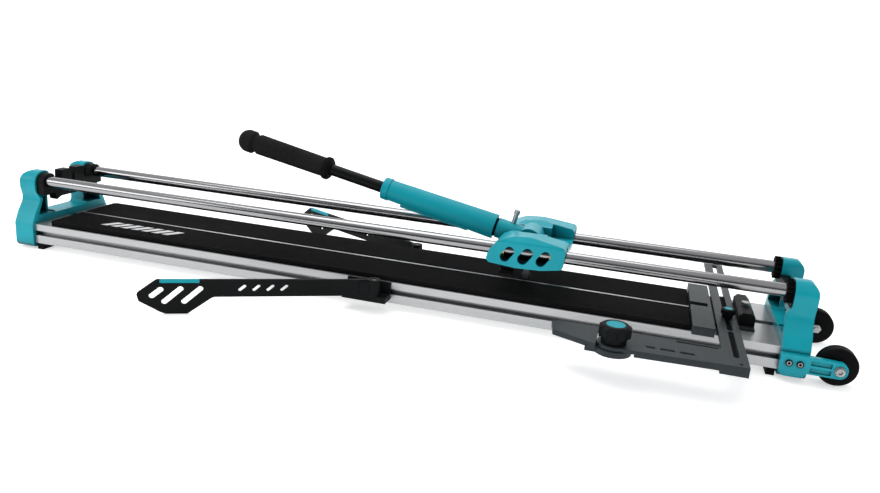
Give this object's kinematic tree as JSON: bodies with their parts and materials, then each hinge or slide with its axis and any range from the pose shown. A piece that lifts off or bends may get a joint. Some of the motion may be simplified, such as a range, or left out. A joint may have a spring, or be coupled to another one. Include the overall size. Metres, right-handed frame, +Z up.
{
  "type": "tile cutter",
  "caption": "Manual tile cutter with a scoring carriage and lever on twin guide rails, padded aluminium bed, folding side arms, measuring square and transport wheels.",
  "frame": {"origin": "floor level under the scoring line, half way along the aluminium bed", "axes": "+X along the rails towards the transport wheels, +Y to the rear, +Z up"},
  "size_m": [1.4465, 0.5846, 0.2544],
  "materials": {
    "aluminium": "anodised, fine lengthwise grain",
    "teal_paint": "smooth satin enamel",
    "teal_plastic": "satin moulded",
    "black_rubber": "matte, finely ribbed",
    "black_plastic": "fine moulded grain",
    "black_metal": "black powder coat",
    "grey_metal": "dark grey powder coat",
    "chromed_steel": "polished",
    "zinc_steel": "zinc plated",
    "brass_insert": "machined",
    "wheel_rubber": "matte",
    "carbide": "ground"
  },
  "bodies": {
    "bed": {"base_extrusion": "aluminium", "front_pad": "black_rubber", "rear_pad": "black_rubber", "breaking_ridge": "aluminium", "rubber_feet": "black_rubber", "right_end_frame": "teal_paint", "left_end_frame": "teal_paint", "right_rail_holder": "black_plastic", "left_rail_holder": "black_plastic", "front_rail": "chromed_steel", "rear_rail": "chromed_steel", "rail_screws": "zinc_steel", "end_frame_screws": "zinc_steel", "front_bumper": "black_rubber", "rear_bumper": "black_rubber", "front_wheel_bracket": "teal_paint", "rear_wheel_bracket": "teal_paint", "bracket_screws": "black_metal", "front_axle_bolt": "zinc_steel", "rear_axle_bolt": "zinc_steel", "axle_nuts": "zinc_steel", "front_hinge_bracket": "black_plastic", "front_hinge_pin": "zinc_steel", "rear_hinge_bracket": "black_plastic", "rear_hinge_pin": "zinc_steel"},
    "front_transport_wheel": {"front_wheel": "wheel_rubber"},
    "rear_transport_wheel": {"rear_wheel": "wheel_rubber"},
    "carriage": {"carriage_body": "teal_paint", "rail_bearings": "brass_insert", "lever_pivot_pin": "zinc_steel"},
    "lever": {"lever_socket": "teal_paint", "handle_tube": "black_metal", "handle_lock_bolt": "zinc_steel", "socket_seal_ring": "black_rubber", "handle_sleeve": "teal_plastic", "handle_grip": "black_rubber", "grip_collar": "black_rubber", "wheel_holder": "carbide", "holder_screw": "zinc_steel", "scoring_wheel_pin": "carbide", "breaker_pin": "zinc_steel"},
    "scoring_disc": {"scoring_wheel": "carbide"},
    "breaker": {"breaker_foot": "black_metal"},
    "front_arm": {"front_side_arm": "black_plastic", "front_arm_pad": "teal_plastic"},
    "rear_arm": {"rear_side_arm": "black_plastic", "rear_arm_pad": "teal_plastic"},
    "fence": {"fence_plate": "grey_metal", "fence_clamp_block": "black_plastic", "fence_tee_nut": "zinc_steel", "fence_clamp_bolt": "zinc_steel"},
    "square": {"sliding_square": "grey_metal", "finger_stud_nut": "zinc_steel"},
    "finger": {"angle_finger": "grey_metal"},
    "finger_knob_group": {"finger_knob": "black_plastic", "finger_knob_cap": "teal_plastic", "finger_knob_stud": "zinc_steel"},
    "bar_knob_group": {"bar_knob": "black_plastic", "bar_knob_cap": "teal_plastic", "bar_knob_stud": "zinc_steel"}
  },
  "joints": [
    {"name": "carriage_travel", "type": "slide", "parent": "bed", "child": "carriage", "axis": [1, 0, 0], "range_m": [-0.745, 0.28]},
    {"name": "lever_tilt", "type": "hinge", "parent": "carriage", "child": "lever", "pos_m": [0.256, 0, 0.129], "axis": [0, 1, 0], "range_deg": [0, 60]},
    {"name": "scoring_wheel_spin", "type": "hinge", "parent": "lever", "child": "scoring_disc", "pos_m": [0.256, 0, 0.065], "axis": [0, 1, 0], "continuous": true},
    {"name": "breaker_rock", "type": "hinge", "parent": "lever", "child": "breaker", "pos_m": [0.225, 0, 0.088], "axis": [0, 1, 0], "range_deg": [-8, 8]},
    {"name": "front_wheel_spin", "type": "hinge", "parent": "bed", "child": "front_transport_wheel", "pos_m": [0.729, -0.084, 0.029], "axis": [0, 1, 0], "continuous": true},
    {"name": "rear_wheel_spin", "type": "hinge", "parent": "bed", "child": "rear_transport_wheel", "pos_m": [0.729, 0.084, 0.029], "axis": [0, 1, 0], "continuous": true},
    {"name": "front_arm_fold", "type": "hinge", "parent": "bed", "child": "front_arm", "pos_m": [0.028, -0.118, 0.042], "axis": [0, 0, 1], "range_deg": [-27, 61]},
    {"name": "rear_arm_fold", "type": "hinge", "parent": "bed", "child": "rear_arm", "pos_m": [0.028, 0.118, 0.042], "axis": [0, 0, 1], "range_deg": [-61, 27]},
    {"name": "fence_travel", "type": "slide", "parent": "bed", "child": "fence", "axis": [1, 0, 0], "range_m": [0, 0.03]},
    {"name": "square_travel", "type": "slide", "parent": "fence", "child": "square", "axis": [0, 1, 0], "range_m": [-0.28, 0.05]},
    {"name": "finger_swing", "type": "hinge", "parent": "square", "child": "finger", "pos_m": [0.4145, -0.217, 0.048], "axis": [0, 0, 1], "range_deg": [0, 60]},
    {"name": "finger_knob_turn", "type": "hinge", "parent": "square", "child": "finger_knob_group", "pos_m": [0.4145, -0.217, 0.06], "axis": [0, 0, 1], "continuous": true},
    {"name": "bar_knob_turn", "type": "hinge", "parent": "fence", "child": "bar_knob_group", "pos_m": [0.5775, -0.032, 0.06], "axis": [0, 0, 1], "continuous": true}
  ]
}
